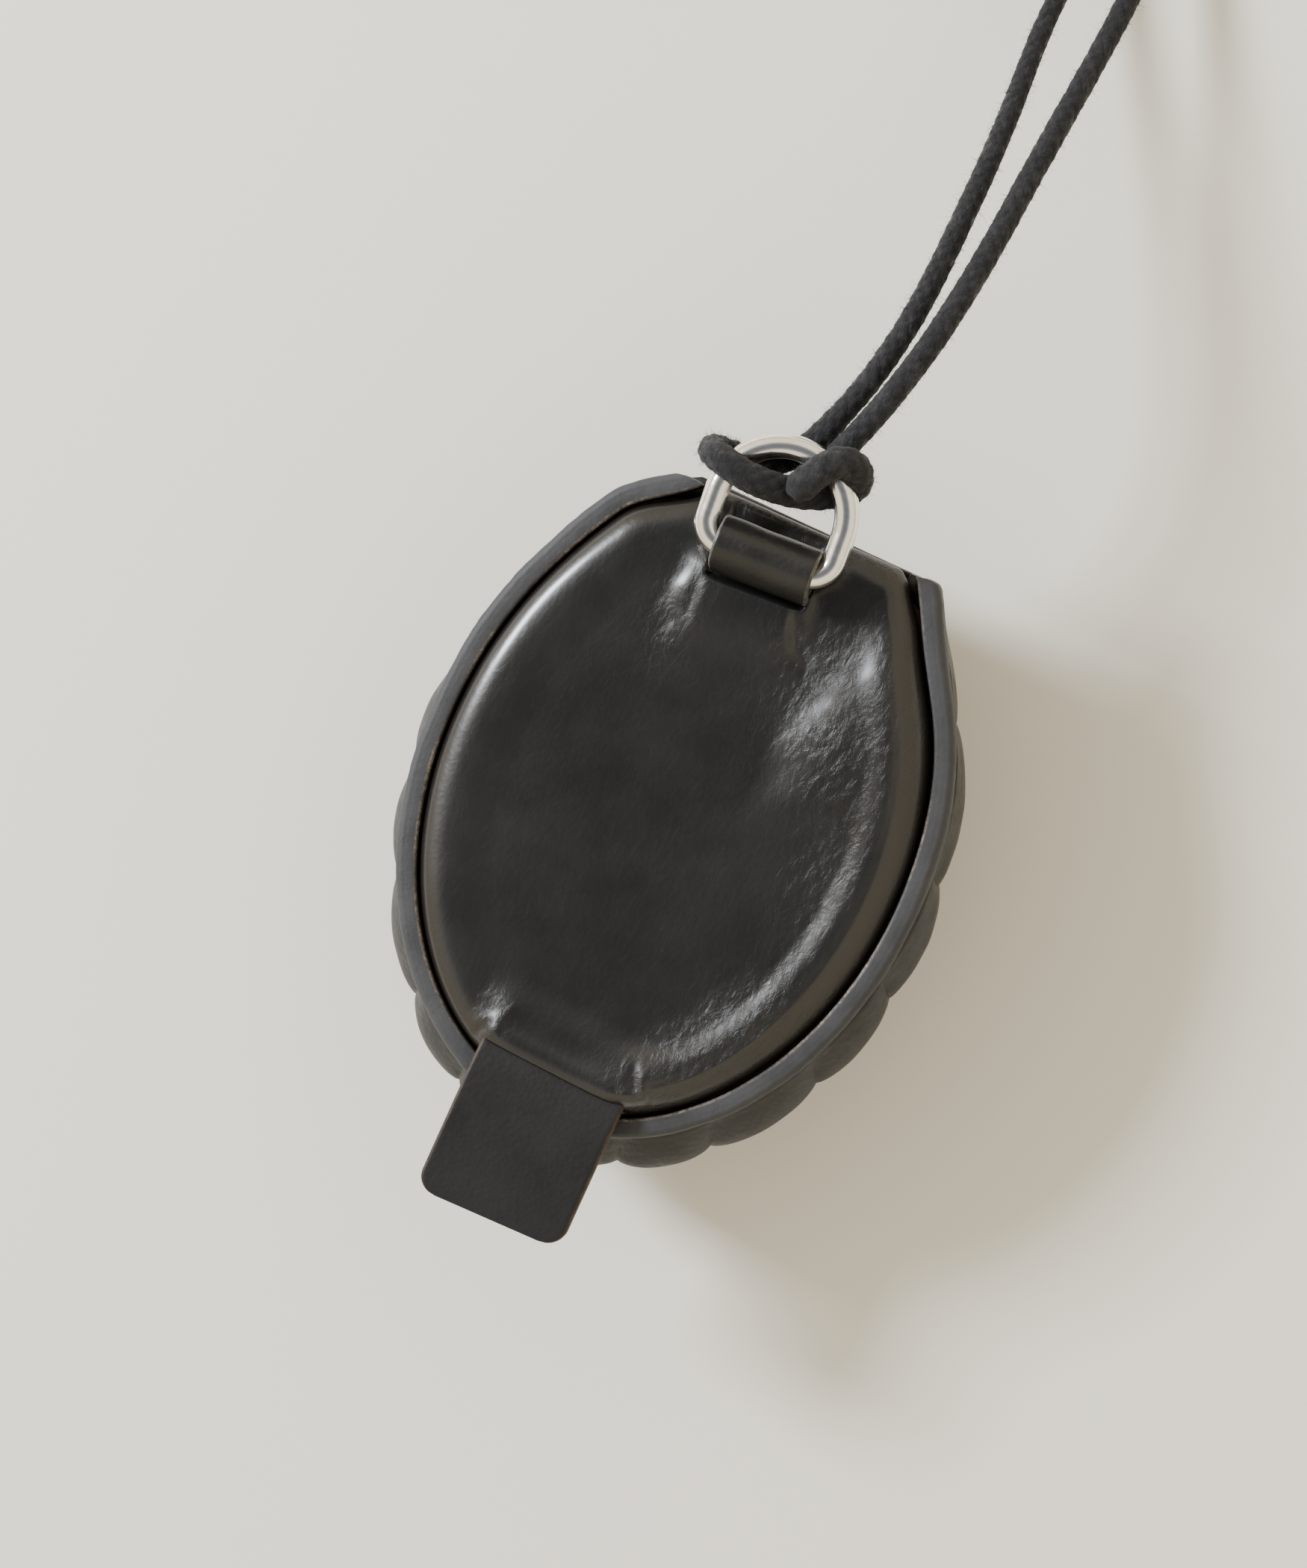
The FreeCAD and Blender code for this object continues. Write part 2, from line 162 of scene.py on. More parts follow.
def resample(points, count, closed=False):
    """Points spaced evenly along a line."""
    p = np.vstack([points, points[:1]]) if closed else np.asarray(points)
    along = np.concatenate([[0], np.cumsum(np.linalg.norm(np.diff(p, axis=0), axis=1))])
    at = np.linspace(0, along[-1], count + (1 if closed else 0))
    made = np.stack([np.interp(at, along, p[:, k]) for k in range(p.shape[1])], axis=1)
    return made[:-1] if closed else made


def mouth(count):
    """The mouth's outline from its right top corner round the bottom to its left, and outward normals."""
    a = np.linspace(0, math.pi / 2, 1500)
    y = MOUTH_BOTTOM + (MOUTH_TOP - MOUTH_BOTTOM) * (1 - np.sin(a))
    half = half_width(y)
    half[-1] = 0
    # the right side comes in a little above the middle, and the left top corner is rounder
    narrower = 1.3 * np.exp(-((y - 32) / 8) ** 2)
    rounder = 2.3 * smoothstep(31.5, MOUTH_TOP, y)
    right = np.stack([half - narrower, y], axis=1)
    left = np.stack([rounder - half, y - 0.35 * rounder], axis=1)
    points = resample(np.vstack([right, left[-2::-1]]), count)
    step = np.gradient(points, axis=0)
    return points, unit(np.stack([-step[:, 1], step[:, 0]], axis=1))


def rib(x, y):
    """0 in the furrows and 1 on the crests of the ribs that fan out from the middle of the top edge."""
    angle = np.abs(np.degrees(np.arctan2(x, np.maximum(MOUTH_TOP - y, 1e-6))))
    height = np.sin(math.pi / 2 * np.clip((angle - RIB_EDGES[-1]) / RIB_FADE, 0, 1)) ** RIB_ROUND
    for low, high in zip(RIB_EDGES, RIB_EDGES[1:]):
        inside = (angle >= low) & (angle < high)
        arch = np.abs(np.sin(math.pi * (angle - low) / (high - low))) ** RIB_ROUND
        height = np.where(inside, arch, height)
    return height


# ---- materials -------------------------------------------
def fill_ramp(ramp, stops):
    """Sets a colour ramp's stops, each a position with a colour or a grey."""
    while len(ramp.elements) < len(stops):
        ramp.elements.new(0.5)
    for element, (position, colour) in zip(ramp.elements, stops):
        element.position = position
        element.color = (*np.broadcast_to(colour, 3), 1)


class Nodes:
    """Short names for building a material's node tree."""

    def __init__(self, name):
        self.material = bpy.data.materials.new(name)
        self.material.use_nodes = True
        self.tree = self.material.node_tree
        self.shader = self.tree.nodes["Principled BSDF"]
        self.place = self.tree.nodes.new("ShaderNodeTexCoord").outputs["Object"]

    def link(self, a, b):
        self.tree.links.new(a, b)

    def set(self, **values):
        for name, value in values.items():
            self.shader.inputs[name.replace("_", " ")].default_value = value

    def noise(self, scale, detail=3.0, rough=0.55, vector=None, distortion=0.0):
        n = self.tree.nodes.new("ShaderNodeTexNoise")
        n.inputs["Scale"].default_value = scale
        n.inputs["Detail"].default_value = detail
        n.inputs["Roughness"].default_value = rough
        n.inputs["Distortion"].default_value = distortion
        self.link(vector or self.place, n.inputs["Vector"])
        return n.outputs["Fac"]

    def cells(self, scale):
        n = self.tree.nodes.new("ShaderNodeTexVoronoi")
        n.inputs["Scale"].default_value = scale
        self.link(self.place, n.inputs["Vector"])
        return n.outputs["Distance"]

    def stretch(self, scale):
        n = self.tree.nodes.new("ShaderNodeMapping")
        n.inputs["Scale"].default_value = scale
        self.link(self.place, n.inputs["Vector"])
        return n.outputs["Vector"]

    def value(self, attribute):
        n = self.tree.nodes.new("ShaderNodeAttribute")
        n.attribute_name = attribute
        return n.outputs["Fac"]

    def ramp(self, fac, stops):
        n = self.tree.nodes.new("ShaderNodeValToRGB")
        fill_ramp(n.color_ramp, stops)
        self.link(fac, n.inputs["Fac"])
        return n.outputs["Color"]

    def math(self, operation, a, b):
        n = self.tree.nodes.new("ShaderNodeMath")
        n.operation = operation
        for socket, value in zip(n.inputs, (a, b)):
            if isinstance(value, (int, float)):
                socket.default_value = value
            else:
                self.link(value, socket)
        return n.outputs["Value"]

    def mix(self, fac, a, b):
        n = self.tree.nodes.new("ShaderNodeMix")
        n.data_type = "RGBA"
        for socket, value in ((n.inputs[0], fac), (n.inputs[6], a), (n.inputs[7], b)):
            if isinstance(value, (int, float)):
                socket.default_value = value
            elif isinstance(value, tuple):
                socket.default_value = (*value, 1)
            else:
                self.link(value, socket)
        return n.outputs[2]

    def bump(self, height, strength, distance, normal=None):
        n = self.tree.nodes.new("ShaderNodeBump")
        n.inputs["Strength"].default_value = strength
        n.inputs["Distance"].default_value = distance
        self.link(height, n.inputs["Height"])
        if normal is not None:
            self.link(normal, n.inputs["Normal"])
        return n.outputs["Normal"]

    def colour(self, socket):
        self.link(socket, self.shader.inputs["Base Color"])

    def rough(self, socket):
        self.link(socket, self.shader.inputs["Roughness"])

    def normal(self, socket):
        self.link(socket, self.shader.inputs["Normal"])

    def grain(self, pores, pore_strength, scale, detail_rough, strength, distance):
        """A leather's fine grain over its pores."""
        below = self.bump(self.cells(pores), pore_strength, 0.00012)
        self.normal(self.bump(self.noise(scale, 6, detail_rough), strength, distance, below))

    def edged(self, base, edge_colour, patches, stops):
        """The base colour, with another one in patches where the mesh is painted as edge."""
        edge = self.math("MULTIPLY", self.value("edge"), self.ramp(patches, stops))
        self.colour(self.mix(edge, base, edge_colour))


def glazed_leather():
    """Black glazed leather: a smooth shine, broken by fine grain where it is creased, with a painted warm
    brown reflection on the lid's wall and shoulder.
    """
    m = Nodes("glazed_leather")
    broad = m.noise(90, 4, 0.6)
    crease = m.value("crease")
    side = m.value("side")
    base = m.ramp(broad, ((0.3, (0.0046, 0.0045, 0.0047)), (0.7, (0.0078, 0.0077, 0.0080))))
    # painted reflection: a lighter warm brown where the mesh is painted as side
    m.colour(m.mix(side, base, (0.009, 0.0065, 0.0055)))
    grain = m.cells(1500)
    wrinkle = m.noise(900, 5, 0.62, m.stretch((1.0, 0.6, 1.0)), 0.8)
    m.rough(m.math("ADD", m.ramp(broad, ((0.3, 0.33), (0.75, 0.43))), m.math("MULTIPLY", crease, 0.04)))
    fine = m.bump(grain, 0.12, 0.00010)
    rough = m.bump(m.math("MULTIPLY", wrinkle, crease), 0.85, 0.00045, fine)
    soft = m.bump(m.noise(260, 3, 0.5), 0.12, 0.00025, rough)
    m.normal(soft)
    m.set(Specular_IOR_Level=0.40, Coat_Weight=0.55, Coat_Roughness=0.20, Coat_IOR=1.5)
    return m.material


def shell_leather():
    """Satin dark grey leather."""
    m = Nodes("shell_leather")
    broad = m.noise(120, 5, 0.6)
    m.colour(m.ramp(broad, ((0.28, (0.016, 0.0165, 0.0175)), (0.72, (0.028, 0.0285, 0.030)))))
    m.rough(m.ramp(m.noise(400, 4, 0.6), ((0.3, 0.40), (0.7, 0.56))))
    m.grain(1300, 0.35, 700, 0.65, 0.30, 0.00018)
    m.set(Specular_IOR_Level=0.42)
    return m.material


def edge_paint():
    """Matt blue-grey edge paint with the raw tan fibre showing along its inner corner."""
    m = Nodes("edge_paint")
    broad = m.noise(160, 5, 0.6)
    paint_colour = m.ramp(broad, ((0.3, (0.030, 0.032, 0.036)), (0.72, (0.050, 0.052, 0.057))))
    fibre = m.noise(1500, 5, 0.7, m.stretch((1, 1, 0.4)))
    patches = m.ramp(m.noise(70, 4), ((0.42, 0.10), (0.62, 0.9)))
    frayed = m.math("MULTIPLY", patches, m.ramp(fibre, ((0.38, 0.15), (0.62, 1.0))))
    raw = m.math("MULTIPLY", m.value("raw"), frayed)
    tan = m.ramp(m.noise(2500, 3), ((0.3, (0.11, 0.080, 0.060)), (0.7, (0.40, 0.34, 0.28))))
    under = m.mix(m.value("under"), paint_colour, (0.030, 0.024, 0.021))
    m.colour(m.mix(raw, under, tan))
    m.rough(m.ramp(broad, ((0.3, 0.52), (0.7, 0.68))))
    m.normal(m.bump(m.noise(1100, 6, 0.7), 0.45, 0.00020))
    m.set(Specular_IOR_Level=0.35)
    return m.material


def tab_leather():
    """Matt charcoal leather whose cut edges are burnished brown."""
    m = Nodes("tab_leather")
    broad = m.noise(140, 5, 0.6)
    base = m.ramp(broad, ((0.28, (0.0042, 0.0042, 0.0047)), (0.72, (0.0072, 0.0072, 0.0080))))
    m.edged(base, (0.055, 0.031, 0.019), m.noise(700, 4), ((0.35, 0.25), (0.65, 1.0)))
    m.rough(m.ramp(broad, ((0.3, 0.50), (0.7, 0.66))))
    m.grain(1600, 0.18, 900, 0.7, 0.15, 0.00016)
    m.set(Specular_IOR_Level=0.36)
    return m.material


def strap_leather():
    """Satin strap leather whose cut edges are painted lighter: partly the raw edge's own colour, partly a
    painted highlight.
    """
    m = Nodes("strap_leather")
    broad = m.noise(200, 5, 0.6)
    base = m.ramp(broad, ((0.28, (0.0090, 0.0088, 0.0086)), (0.72, (0.0150, 0.0147, 0.0143))))
    # the light edge colour is partly the raw cut edge and partly a painted highlight
    m.edged(base, (0.10, 0.095, 0.085), m.noise(1200, 3), ((0.30, 0.35), (0.60, 1.0)))
    m.rough(m.ramp(broad, ((0.3, 0.30), (0.7, 0.42))))
    m.grain(1700, 0.20, 600, 0.65, 0.16, 0.00020)
    m.set(Specular_IOR_Level=0.42)
    return m.material


def suede(name, dark, light):
    """Matt suede or felt with a soft nap."""
    m = Nodes(name)
    nap = m.noise(900, 8, 0.75)
    m.colour(m.ramp(m.mix(0.5, m.noise(120, 4), nap), ((0.35, dark), (0.65, light))))
    m.normal(m.bump(nap, 0.8, 0.00030))
    m.set(Roughness=0.95, Specular_IOR_Level=0.15, Sheen_Weight=0.35, Sheen_Roughness=0.5)
    return m.material


def polished_metal():
    """Polished nickel with faint wipe marks."""
    m = Nodes("polished_nickel")
    wipe = m.noise(300, 5, 0.6, m.stretch((1, 6, 1)))
    m.colour(m.ramp(wipe, ((0.35, (0.88, 0.865, 0.835)), (0.65, (0.95, 0.94, 0.915)))))
    m.rough(m.ramp(wipe, ((0.35, 0.12), (0.7, 0.18))))
    m.normal(m.bump(m.noise(180, 3), 0.10, 0.00008))
    m.set(Metallic=1.0)
    return m.material


def cord_cotton():
    """Dark grey braided cotton: the braid is in the mesh, and the fibres and a painted shade in the braid's
    furrows are here.
    """
    m = Nodes("cord_cotton")
    fibre = m.noise(3200, 5, 0.7, m.stretch((1, 0.35, 1)))
    threads = m.ramp(fibre, ((0.3, (0.0028, 0.0033, 0.0050)), (0.7, (0.017, 0.0185, 0.0255))))
    tone = m.mix(m.noise(260, 4), threads, (0.0075, 0.0082, 0.0112))
    # painted shade: near black in the braid's furrows
    m.colour(m.mix(m.value("furrow_shade"), tone, (0.002, 0.002, 0.0026)))
    m.normal(m.bump(m.noise(1500, 5, 0.7), 0.60, 0.00050, m.bump(fibre, 0.9, 0.00026)))
    m.rough(m.ramp(m.noise(520, 4, 0.65), ((0.34, 0.36), (0.52, 0.80))))
    m.set(Specular_IOR_Level=0.34, Sheen_Weight=0.10, Sheen_Roughness=0.45)
    return m.material


GLAZED = glazed_leather()
SHELL = shell_leather()
EDGE = edge_paint()
STRAP = strap_leather()
TAB = tab_leather()
LINING = suede("lining_suede", (0.070, 0.045, 0.030), (0.150, 0.105, 0.075))
FELT = suede("padding_felt", (0.16, 0.15, 0.14), (0.28, 0.27, 0.25))
METAL = polished_metal()
COTTON = cord_cotton()


# ---- dome ------------------------------------------------
def dome_share(z):
    """The dome's size at a height, as a share of its size at the bulge."""
    full = BULGE_Z / (1 - CROWN_SHARE ** DOME_POWER) ** (1 / DOME_POWER)
    drop = np.clip((BULGE_Z - z) / full, 0, 1)
    return (1 - drop ** DOME_POWER) ** (1 / DOME_POWER)


def dome_loop(count):
    """The mouth's outline closed by the top edge, with soft corners."""
    points, _ = mouth(900)
    inner = points[points[:, 1] < MOUTH_TOP - 2.4]
    top = resample(np.array([(3.6 - MOUTH_CORNER, MOUTH_TOP), (MOUTH_CORNER - 2.6, MOUTH_TOP)]), 120)
    return settled(resample(np.vstack([inner, top]), count, closed=True), 6)


def dome_grid(loop, heights, inset):
    """Sections of the dome at these heights, one row each."""
    rows = []
    out = unit(loop - (0, WIDEST_Y))
    for z in heights:
        share = float(dome_share(z))
        swell = 1.0 if z <= BULGE_Z else 1 - ((z - BULGE_Z) / (RIM_LOW - BULGE_Z)) ** 1.6
        # it is flatter at the lower left
        left = np.minimum(out[:, 0], 0) * (0.5 - 1.8 * np.minimum(out[:, 1], 0))
        grow = RIM_WIDTH + swell * (BULGE - BULGE_LEAN * out[:, 1] + left) - inset
        # the two top corners stay back under the ends of the rim
        grow = grow - 1.3 * smoothstep(34.0, 38.5, loop[:, 1]) * smoothstep(8.0, 12.0, np.abs(loop[:, 0]))
        x = share * (loop[:, 0] + grow * out[:, 0])
        y = CROWN_Y + share * (np.minimum(loop[:, 1] + grow * out[:, 1], MOUTH_TOP - inset) - CROWN_Y)
        rows.append(np.stack([x, y, np.full(len(x), z)], axis=1))
    return np.array(rows)


def close_middle(points, faces, row_start, cols, flip):
    """Closes a grid's last row with a fan of triangles to its middle."""
    middle = len(points)
    points = np.vstack([points, points[row_start:row_start + cols].mean(0)])
    for c in range(cols):
        a, b = row_start + c, row_start + (c + 1) % cols
        faces.append((a, middle, b) if flip else (a, b, middle))
    return points, faces


def bowl(outer, inner, cols):
    """Points and faces of a bowl between two grids that start at its mouth and end near its middle."""
    rows, inner_rows = len(outer), len(inner)
    points = np.vstack([outer.reshape(-1, 3), inner.reshape(-1, 3)])
    faces = grid_faces(rows, cols, close_cols=True)
    faces += grid_faces(inner_rows, cols, close_cols=True, start=rows * cols, flip=True)
    for c in range(cols):
        d = (c + 1) % cols
        faces.append((d, c, rows * cols + c, rows * cols + d))
    points, faces = close_middle(points, faces, (rows - 1) * cols, cols, False)
    return close_middle(points, faces, (rows + inner_rows - 1) * cols, cols, True)


def make_shell():
    """The ribbed dome: smooth sections, pressed in at the furrows, with a plain inside."""
    cols = 960
    loop = dome_loop(cols)
    angle = np.linspace(0, math.pi / 2, 90)
    side = BULGE_Z * (1 - np.sin(angle))
    heights = np.concatenate([np.linspace(RIM_LOW, BULGE_Z, 14)[:-1], side])
    outer = dome_grid(loop, heights, 0)
    last = outer[-1]
    centre = np.array([0, CROWN_Y, 0])
    shrink = [centre + (last - centre) * s for s in np.linspace(1, 0.04, 30)[1:]]
    outer = np.concatenate([outer, np.array(shrink)])
    along = np.gradient(outer, axis=0)
    around = np.roll(outer, -1, 1) - np.roll(outer, 1, 1)
    normal = np.cross(around, along)
    normal /= np.maximum(np.linalg.norm(normal, axis=2), 1e-9)[..., None]
    x, y, z = outer[..., 0], outer[..., 1], outer[..., 2]
    away = normal[..., 0] * x + normal[..., 1] * (y - CROWN_Y) + normal[..., 2] * (z - 15) < 0
    normal = np.where(away[..., None], -normal, normal)
    fan = np.hypot(x, MOUTH_TOP - y)
    depth = 1.2 * smoothstep(3, 38, fan) * (1 - 0.45 * smoothstep(21.5, RIM_LOW, z))
    depth = depth * smoothstep(0.2, 3.0, MOUTH_TOP - y)
    lumps = 0.10 * ripple(x, y, z, 14, 3) + 0.04 * ripple(x, y, z, 5, 4)
    moved = outer - normal * (depth * (1 - rib(x, y)) + 0.12 - lumps * smoothstep(0, 4, z))[..., None]
    moved[..., 2] = np.clip(moved[..., 2], 0.0, RIM_LOW)
    moved[0, :, 2] = RIM_LOW
    inner = dome_grid(loop, [RIM_LOW, *np.linspace(BULGE_Z, 2.0, 24)], 2.6)
    return mesh("shell_dome", *bowl(moved, inner, cols), SHELL, "shell", ("front_shell",), "shell_leather")


def make_lining():
    """Suede inside the dome, a little uneven."""
    cols = 360
    loop = dome_loop(cols)
    outer = dome_grid(loop, [RIM_LOW, *np.linspace(BULGE_Z, 2.1, 40)], 2.65)
    inner = dome_grid(loop, [RIM_LOW, *np.linspace(BULGE_Z, 2.9, 40)], 3.4)
    x, y, z = inner[..., 0], inner[..., 1], inner[..., 2]
    inner[..., 2] = z + 0.12 * (ripple(x, y, z, 6, 11) + 1) * (z < RIM_LOW - 0.5)
    return mesh("suede_lining", *bowl(outer, inner, cols), LINING, "shell", ("shell_lining",), "lining_suede")


# ---- rim -------------------------------------------------
def rim_section():
    """(outward, height) round the rim's section, from the inner foot over the top to the outer foot."""
    wide, top = RIM_WIDTH - 0.25, RIM_TOP
    inner = [(0.0, RIM_LOW), (0.0, 24.5), (0.0, 25.6), (0.02, 26.4), (0.0, 26.9), (0.03, 27.18)]
    corner = [(0.10, 27.36), (0.22, 27.45), (0.40, 27.50)]
    flat = [(0.7 + 0.2 * k, top + 0.02 * math.sin(k)) for k in range(5)]
    r = 0.95
    bend = [(wide - r + r * math.sin(a), top - r + r * math.cos(a)) for a in np.linspace(0.15, 1.57, 9)]
    outer = [(wide, 25.8), (wide, 24.9), (wide - 0.03, 24.1), (wide - 0.15, RIM_LOW)]
    return np.array(inner + corner + flat + bend + outer)


def make_rim():
    """The thick edge round the mouth; its right end is blunt, and its left end tapers."""
    count, mouth_length = 1100, 170.0
    points, normals = mouth(count)
    s = np.linspace(0, 1, count)
    start, taper = np.where(s < 0.5, 1.5, 0.3), np.where(s < 0.5, 3.0, 6.5)
    from_end = np.clip(np.minimum(s, 1 - s) * mouth_length / taper, 0, 1)
    round_end = start + (RIM_WIDTH + 0.3 - start) * np.sqrt(1 - (1 - from_end) ** 2)
    x, y = points.T
    wider = 1 + 0.05 * ripple(x, y, 0, 26, 23)
    sway = 0.10 * ripple(x, y, 0, 17, 24)
    made, raw, under = [], [], []
    for i, (d, z) in enumerate(rim_section()):
        wave = 0.10 * ripple(x, y, z, 9, 21) + 0.03 * ripple(x, y, z, 1.6, 22)
        out = np.minimum(d * wider, round_end) + wave * (0.25 if d < 0.3 else 1.0) * (z > RIM_LOW)
        made.append(np.column_stack([points + normals * out[:, None], z + sway * (z > 25)]))
        raw.append(np.full(count, 1.0 if 5 <= i <= 7 else 0.0))
        under.append(np.full(count, 1.0 if i <= 4 else 0.0))
    made = np.array(made)
    # neither end passes the top edge
    limit = MOUTH_TOP + 0.25 - 0.75 * smoothstep(-7.0, -11.0, made[..., 0])
    made[..., 1] = limit - np.logaddexp(0, 2.5 * (limit - made[..., 1])) / 2.5 + 0.05
    faces = bar_faces(len(made), count)
    piece = mesh("rim_edge", made, faces, EDGE, "shell", ("rim_welt",), "edge_leather")
    paint(piece, "raw", np.concatenate(raw))
    paint(piece, "under", np.concatenate(under))
    return piece


# ---- puffed back -----------------------------------------
TAB_SLIT = ((-8.3, -29.9), (10.95, -30.4))
STRAP_SLIT = ((-7.6, 29.75), (4.0, 30.65))
PANEL_TOP, PANEL_SAG = 28.85, 0.45    # the pillow's height, and how much lower it is along the top edge


def slit_space(x, y, slit):
    """Places along and across a slit: 0 to 1 along it, and millimetres towards +Y of it."""
    (x0, y0), (x1, y1) = slit
    length = math.hypot(x1 - x0, y1 - y0)
    ux, uy = (x1 - x0) / length, (y1 - y0) / length
    along = (x - x0) * ux + (y - y0) * uy
    return along / length, -(x - x0) * uy + (y - y0) * ux


def bump_at(x, y, x0, y0, wide, long, turn=0.0):
    """A smooth oval bump, 1 at its middle."""
    a = math.radians(turn)
    u = (x - x0) * math.cos(a) + (y - y0) * math.sin(a)
    v = -(x - x0) * math.sin(a) + (y - y0) * math.cos(a)
    return np.exp(-((u / wide) ** 2 + (v / long) ** 2))


def bumps(x, y, table):
    """The sum of bumps given as height, place, half-sizes and turn."""
    return sum(height * bump_at(x, y, *shape) for height, *shape in table)


# small puckers: height, x, y, half-width, half-length, and turn in degrees
PUCKERS = ((0.20, -9.4, 26.6, 1.2, 2.6, -14), (-0.22, -7.9, 26.2, 0.6, 2.2, 4),
           (-0.10, -9.2, 22.8, 0.7, 1.8, -28), (-0.28, 4.3, 27.6, 0.7, 2.3, 24),
           (-0.18, 6.2, 25.6, 0.8, 2.4, 38), (-0.45, -9.4, -29.0, 0.6, 1.8, -34),
           (0.30, -8.0, -27.2, 0.9, 1.8, -30), (-0.40, 12.2, -28.6, 0.6, 2.0, 36),
           (0.25, 10.8, -27.2, 0.7, 2.2, 30), (-0.22, 9.2, -26.6, 0.6, 1.8, 22))
# where the leather is creased and the shine breaks up
CREASED = ((0.75, 13.0, 23.0, 8.0, 7.5, 30), (0.65, 19.0, 10.0, 5.0, 12.0, 6), (0.70, -9.0, 24.5, 2.6, 5.5),
           (0.85, 16.5, -18.0, 4.2, 12.0, -36), (0.45, 5.0, 26.5, 3.0, 3.5), (0.55, -9.0, -27.5, 2.5, 3.0),
           (0.55, 11.5, -28.0, 2.5, 3.0))


def pillow_detail(x, y):
    """Height of the leather's own relief: slits, the tails under it, puckers and creases."""
    h = 0.10 * ripple(x, y, 0, 26, 31) + 0.02 * ripple(x, y, 0, 7, 32) + bumps(x, y, PUCKERS)
    # the strap's tail lies under the leather below its slit, and the leather falls away round it
    a, across = slit_space(x, y, STRAP_SLIT)
    band = smoothstep(-0.04, 0.04, a) * (1 - smoothstep(0.96, 1.04, a))
    hump = smoothstep(-0.34, 0.06, a) * (1 - smoothstep(0.85, 1.25, a))
    h += 1.15 * hump * smoothstep(-11, -2, across) * (1 - smoothstep(0.2, 3.0, across))
    h -= 1.00 * band * np.exp(-(across / 0.45) ** 2)
    h -= 0.75 * band * smoothstep(0.0, 0.8, across)
    # the tab's tail, and the lip over its slit
    a, across = slit_space(x, y, TAB_SLIT)
    band = smoothstep(-0.03, 0.05, a) * (1 - smoothstep(0.95, 1.03, a))
    lip = smoothstep(-0.18, 0.06, a) * (1 - smoothstep(0.94, 1.18, a))
    h += lip * (0.70 * (1 - smoothstep(4.5, 9.0, across)) + 0.35 * np.exp(-((across - 1.4) / 1.3) ** 2))
    return h - 2.5 * band * (1 - smoothstep(-0.6, 0.12, across))


def panel_loop(cols, half):
    """The lid's outline: the mouth less a gap, closed along the hinge."""
    points, normals = mouth(1400)
    gap = LID_GAP + 0.6 * smoothstep(33, 38, points[:, 1])
    side = points - normals * gap[:, None]
    side = side[side[:, 1] < MOUTH_TOP - 1.1]
    top = resample(np.array([(0.6 - half, MOUTH_TOP - 0.3), (half, MOUTH_TOP - 0.02)]), 160)
    return settled(resample(np.vstack([side, top]), cols, closed=True), 5)


